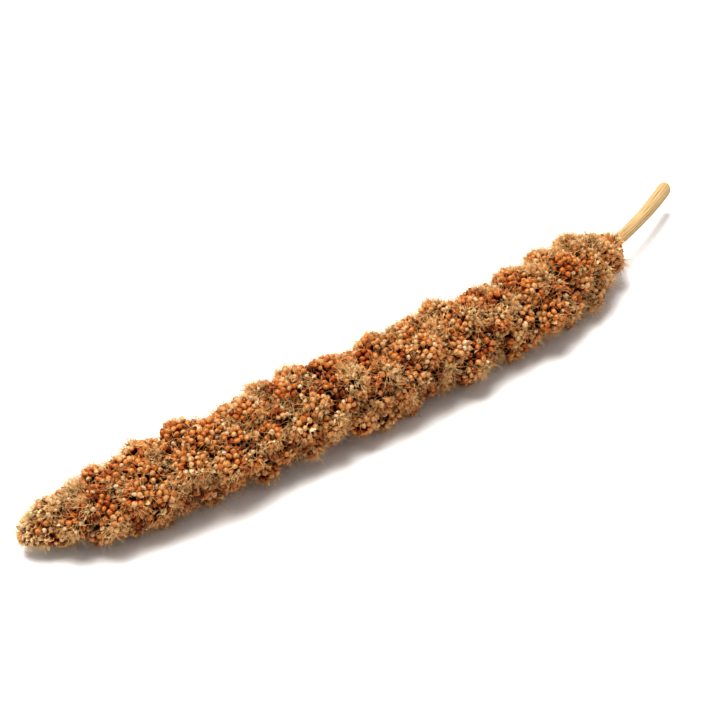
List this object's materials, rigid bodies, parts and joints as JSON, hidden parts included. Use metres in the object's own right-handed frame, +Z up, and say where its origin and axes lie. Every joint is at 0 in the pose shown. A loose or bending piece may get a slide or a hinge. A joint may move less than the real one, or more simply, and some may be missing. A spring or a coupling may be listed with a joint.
{
  "type": "foxtail millet head",
  "caption": "Dried foxtail millet head lying on its side: a gently bowed spike of rounded lobes covered with small orange-tan grains, on a short cut straw stem.",
  "frame": {"origin": "middle of the footprint, on the surface that the head lies on", "axes": "+X along the head, from its tip to its cut stem, +Z up from the surface"},
  "size_m": [0.2264, 0.0366, 0.0239],
  "materials": {
    "grain": "waxy husked grains, burnt orange to pale tan, dark red-brown between them",
    "straw": "dry matt straw, pale yellow-tan, with fine lengthwise ridges"
  },
  "bodies": {
    "root": {"grain_head": "grain", "stem": "straw"}
  },
  "joints": []
}
